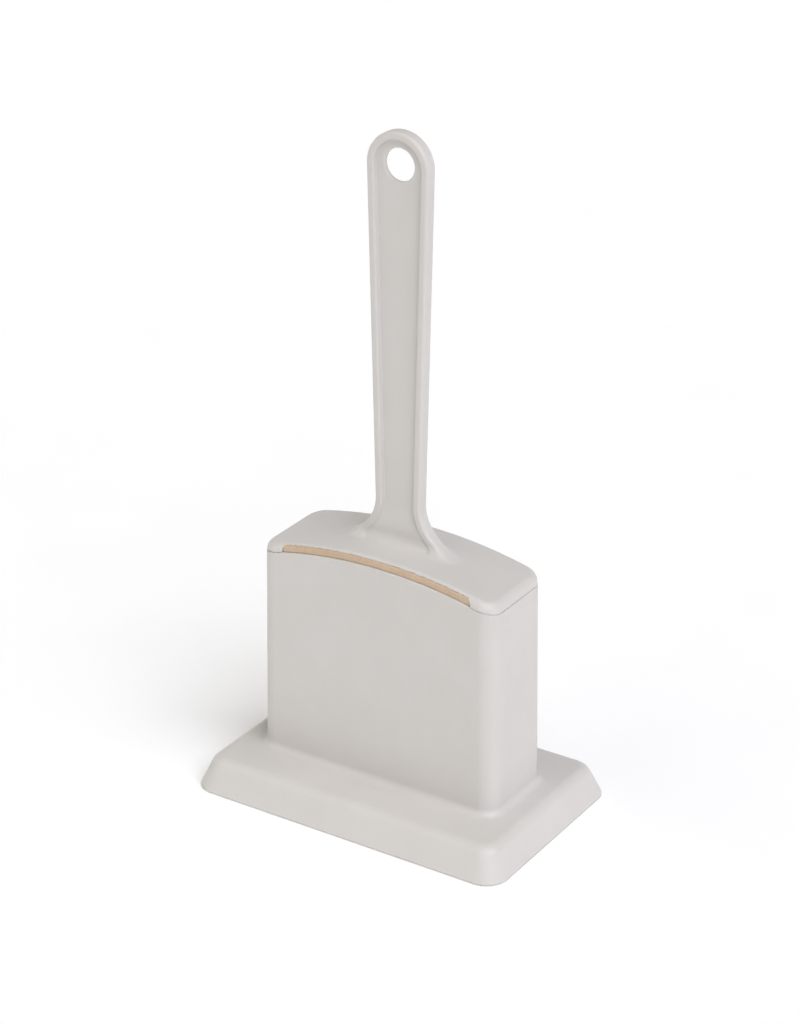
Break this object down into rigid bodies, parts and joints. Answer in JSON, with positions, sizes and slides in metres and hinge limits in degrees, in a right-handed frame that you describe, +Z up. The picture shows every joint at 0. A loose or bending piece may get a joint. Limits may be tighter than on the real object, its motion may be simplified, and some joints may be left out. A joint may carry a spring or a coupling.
{
  "type": "lint brush with self-cleaning stand",
  "caption": "Flat double-sided velvet lint brush with a tapered handle and hanging hole, parked in a free-standing self-cleaning case on a flared base with a pull-out lint tray.",
  "frame": {"origin": "on the ground, at the middle of the base's footprint", "axes": "+Z up along the handle, -Y towards the front of the case, +X along the case's width; the lint tray pulls out towards +Y"},
  "size_m": [0.143, 0.09, 0.2765],
  "materials": {
    "shell_plastic": "satin warm off-white polypropylene",
    "inner_plastic": "matte off-white polypropylene",
    "velvet": "short directional velvet pile, tan",
    "wiper_pile": "short stiff velvet pile, tan",
    "foam": "closed-cell foam",
    "screw_steel": "zinc plated",
    "ballast_steel": "rolled bar",
    "rubber": "soft matte"
  },
  "bodies": {
    "stand": {"stand_casing": "shell_plastic", "base_plate": "inner_plastic", "plate_screws": "screw_steel", "rubber_feet": "rubber", "ballast_bar_left": "ballast_steel", "ballast_bar_right": "ballast_steel", "wiper_carrier_front": "inner_plastic", "wiper_carrier_back": "inner_plastic", "wiper_foam_front": "foam", "wiper_foam_back": "foam", "wiper_pile_front": "wiper_pile", "wiper_pile_back": "wiper_pile"},
    "tray": {"lint_tray": "shell_plastic"},
    "brush": {"handle": "shell_plastic", "head_shell_front": "inner_plastic", "head_shell_back": "inner_plastic", "foam_pad_front": "foam", "foam_pad_back": "foam", "velvet_pad_front": "velvet", "velvet_pad_back": "velvet", "head_screws": "screw_steel"}
  },
  "joints": [
    {"name": "brush_lift", "type": "slide", "parent": "stand", "child": "brush", "axis": [0, 0, 1], "range_m": [0, 0.12]},
    {"name": "tray_slide", "type": "slide", "parent": "stand", "child": "tray", "axis": [0, 1, 0], "range_m": [0, 0.052]}
  ]
}
